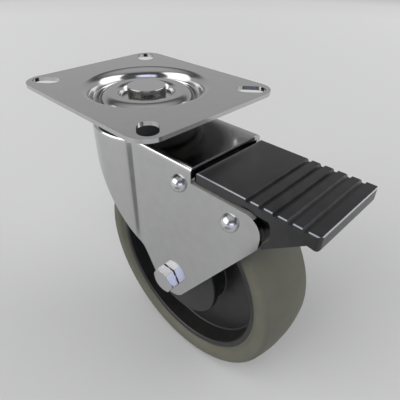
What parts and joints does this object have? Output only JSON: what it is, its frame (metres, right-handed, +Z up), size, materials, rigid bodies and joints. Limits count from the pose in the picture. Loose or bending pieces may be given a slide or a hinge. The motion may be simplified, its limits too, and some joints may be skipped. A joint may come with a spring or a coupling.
{
  "type": "swivel castor",
  "caption": "Swivel castor with a slotted top plate, ball-bearing head, pressed steel fork, rubber-tyred wheel, and a foot pedal that brakes the wheel and locks the swivel.",
  "frame": {"origin": "on the swivel axis, at the height of the plate's top face, which bolts to whatever the castor carries", "axes": "+Z up and out of the plate's top face, +X towards the foot pedal (the side the wheel trails to), +Y to the side with the axle's nut"},
  "size_m": [0.1637, 0.085, 0.1529],
  "materials": {
    "zinc_sheet": "bright zinc-plated pressed sheet",
    "bright_steel": "bright zinc-plated, turned",
    "rivet_steel": "smooth headed rivet",
    "ball_steel": "ground and polished bearing steel",
    "brake_steel": "plain pressed steel",
    "hub_plastic": "moulded nylon, satin",
    "pedal_plastic": "moulded nylon, satin",
    "seal_rubber": "matt",
    "tyre_rubber": "grey elastic rubber, matt"
  },
  "bodies": {
    "plate": {"top_plate": "zinc_sheet", "kingpin": "bright_steel", "kingpin_nut": "bright_steel", "lower_race": "bright_steel", "lock_ring": "brake_steel", "lower_balls": "ball_steel"},
    "fork": {"fork": "zinc_sheet", "upper_race": "bright_steel", "upper_balls": "ball_steel", "dust_seal": "seal_rubber", "axle_bolt": "bright_steel", "axle_nut": "bright_steel", "axle_sleeve": "bright_steel", "thread_guard_near": "hub_plastic", "thread_guard_far": "hub_plastic", "bearing_inner_near": "ball_steel", "bearing_inner_far": "ball_steel", "lock_pin": "rivet_steel", "pedal_pin": "rivet_steel"},
    "wheel": {"rim": "hub_plastic", "tyre": "tyre_rubber", "bearing_outer_near": "ball_steel", "bearing_outer_far": "ball_steel", "bearing_balls_near": "ball_steel", "bearing_balls_far": "ball_steel", "bearing_seals": "seal_rubber"},
    "pedal": {"pedal_cover": "pedal_plastic", "pedal_lever": "brake_steel", "brake_shoe": "brake_steel"},
    "lock": {"lock_plate": "brake_steel"}
  },
  "joints": [
    {"name": "swivel", "type": "hinge", "parent": "plate", "child": "fork", "pos_m": [0, 0, -0.0156], "axis": [0, 0, 1], "continuous": true},
    {"name": "wheel_spin", "type": "hinge", "parent": "fork", "child": "wheel", "pos_m": [0.0379, 0, -0.0905], "axis": [0, 1, 0], "continuous": true},
    {"name": "pedal_hinge", "type": "hinge", "parent": "fork", "child": "pedal", "pos_m": [0.0768, 0, -0.0312], "axis": [0, 1, 0], "range_deg": [0, 10]},
    {"name": "lock_hinge", "type": "hinge", "parent": "fork", "child": "lock", "pos_m": [0.0476, 0, -0.026], "axis": [0, 1, 0], "range_deg": [-3.9, 0]}
  ],
  "couplings": [
    {"joint": "lock_hinge", "follows": "pedal_hinge", "ratio": -0.39}
  ]
}
